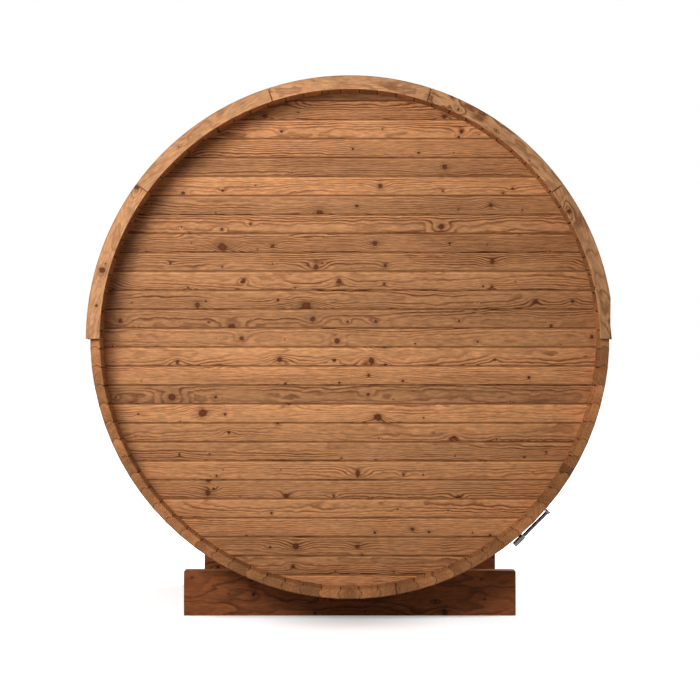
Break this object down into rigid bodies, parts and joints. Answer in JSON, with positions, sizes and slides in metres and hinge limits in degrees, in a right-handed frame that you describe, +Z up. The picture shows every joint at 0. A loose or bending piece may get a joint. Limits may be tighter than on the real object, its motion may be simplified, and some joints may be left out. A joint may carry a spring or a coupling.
{
  "type": "barrel sauna",
  "caption": "Barrel sauna of cove-and-bead staves on two cradles, with a plain boarded back end, curved trim, steel bands and a closed boarded door at the other end.",
  "frame": {"origin": "on the ground, under the middle of the barrel", "axes": "+Z up; +Y along the barrel's axis towards the end with the door, so -Y is the plain back end; +X to the right of someone who faces the back end"},
  "size_m": [2.118, 1.8746, 2.1948],
  "materials": {
    "stave_wood": "planed heat-treated softwood, end grain at the stave ends",
    "wall_wood": "planed heat-treated softwood with knots",
    "trim_wood": "planed heat-treated softwood, lighter",
    "cradle_wood": "dark brown stained softwood",
    "covering": "dark mineral-surfaced bitumen roof covering",
    "band_steel": "zinc-plated steel",
    "hinge_steel": "black painted steel",
    "door_wood": "planed heat-treated softwood with knots",
    "frame_wood": "planed heat-treated softwood",
    "handle_wood": "turned and oiled wood"
  },
  "bodies": {
    "root": {"back_band": "band_steel", "back_band_bolt": "band_steel", "back_cradle": "cradle_wood", "back_trim": "trim_wood", "back_wall_boards_lower": "wall_wood", "back_wall_boards_middle": "wall_wood", "back_wall_boards_upper": "wall_wood", "door_boards": "door_wood", "door_casing": "frame_wood", "door_frame": "frame_wood", "door_handle": "handle_wood", "door_hinges": "hinge_steel", "door_ledges": "door_wood", "door_sill": "frame_wood", "front_band": "band_steel", "front_band_bolt": "band_steel", "front_cradle": "cradle_wood", "front_trim": "trim_wood", "front_wall_boards_above_door": "wall_wood", "front_wall_boards_below_door": "wall_wood", "front_wall_boards_left": "wall_wood", "front_wall_boards_right": "wall_wood", "roof_covering": "covering", "staves_at_01_oclock": "stave_wood", "staves_at_02_oclock": "stave_wood", "staves_at_03_oclock": "stave_wood", "staves_at_04_oclock": "stave_wood", "staves_at_05_oclock": "stave_wood", "staves_at_06_oclock": "stave_wood", "staves_at_07_oclock": "stave_wood", "staves_at_08_oclock": "stave_wood", "staves_at_09_oclock": "stave_wood", "staves_at_10_oclock": "stave_wood", "staves_at_11_oclock": "stave_wood", "staves_at_12_oclock": "stave_wood"}
  },
  "joints": []
}
